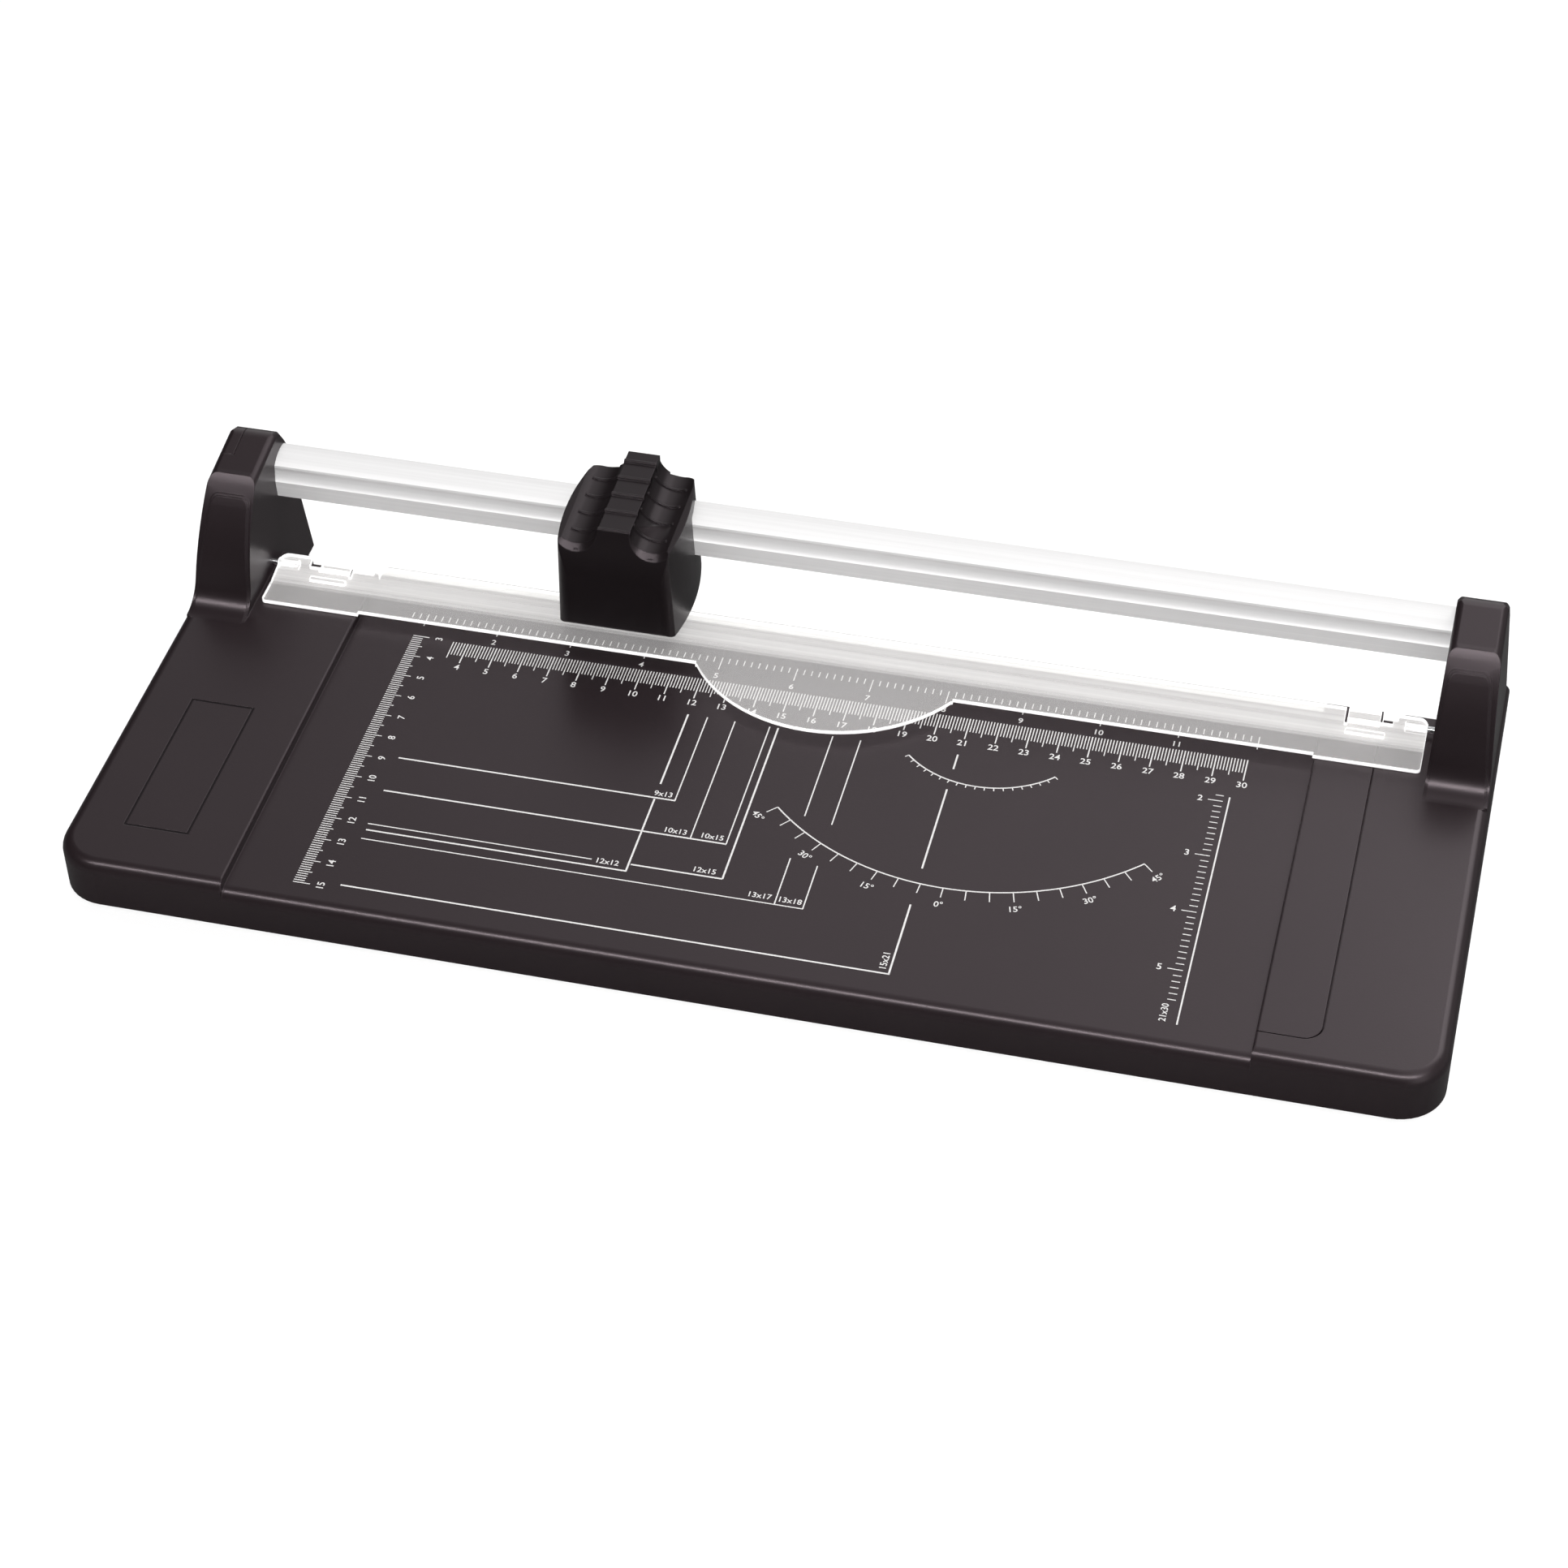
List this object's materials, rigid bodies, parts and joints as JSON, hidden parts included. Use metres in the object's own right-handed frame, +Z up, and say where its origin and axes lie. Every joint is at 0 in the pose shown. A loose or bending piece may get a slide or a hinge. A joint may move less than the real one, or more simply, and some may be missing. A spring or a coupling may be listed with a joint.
{
  "type": "paper trimmer",
  "caption": "Low desktop paper trimmer: ruled bed between raised side panels, clear clamp strip, and a rotary cutter head that slides on a rail held by two end posts.",
  "frame": {"origin": "centre of the footprint at table height, under the rubber feet", "axes": "+X along the cut line towards the fence, +Y to the rear (rail side), +Z up"},
  "size_m": [0.434, 0.184, 0.0662],
  "materials": {
    "base_plastic": "satin, fine grain",
    "head_plastic": "satin",
    "dark_plastic": "satin",
    "cutting_plastic": "satin",
    "glide_plastic": "smooth",
    "clear_plastic": "polished clear",
    "rail_aluminium": "satin anodised",
    "rubber": "matte",
    "screw_steel": "plated",
    "pin_steel": "ground",
    "spring_steel": "drawn wire",
    "blade_steel": "ground",
    "washer_brass": "satin"
  },
  "bodies": {
    "base": {"base_shell": "base_plastic", "fence_plate": "base_plastic", "cutting_strip": "cutting_plastic", "rubber_feet": "rubber", "guide_rail": "rail_aluminium", "rail_plugs": "dark_plastic", "rail_screws": "screw_steel", "rail_lock_cap": "base_plastic", "post_cover_left": "dark_plastic", "post_cover_right": "dark_plastic", "post_cover_screws": "screw_steel"},
    "carriage": {"glide_sleeve": "glide_plastic", "press_springs": "spring_steel"},
    "head": {"head_housing": "head_plastic", "head_back_cover": "head_plastic", "head_screws": "screw_steel", "blade_carrier": "dark_plastic", "carrier_screws": "screw_steel", "blade_axle": "pin_steel", "blade_washer": "washer_brass", "blade_clip": "screw_steel"},
    "blade": {"rotary_blade": "blade_steel"},
    "clamp": {"clamp_strip": "clear_plastic", "clamp_pins": "pin_steel"}
  },
  "joints": [
    {"name": "head_slide", "type": "slide", "parent": "base", "child": "carriage", "axis": [1, 0, 0], "range_m": [-0.1018, 0.2438]},
    {"name": "head_press", "type": "slide", "parent": "carriage", "child": "head", "axis": [0, 0, -1], "range_m": [0, 0.0015], "stiffness_N_per_m": 2000, "springref_m": -0.001, "deforming": ["press_springs"]},
    {"name": "blade_spin", "type": "hinge", "parent": "head", "child": "blade", "pos_m": [-0.071, 0.068, 0.0308], "axis": [0, 1, 0], "continuous": true},
    {"name": "clamp_tip", "type": "hinge", "parent": "base", "child": "clamp", "pos_m": [0, 0.0585, 0.0204], "axis": [-1, 0, 0], "range_deg": [0, 10]}
  ]
}
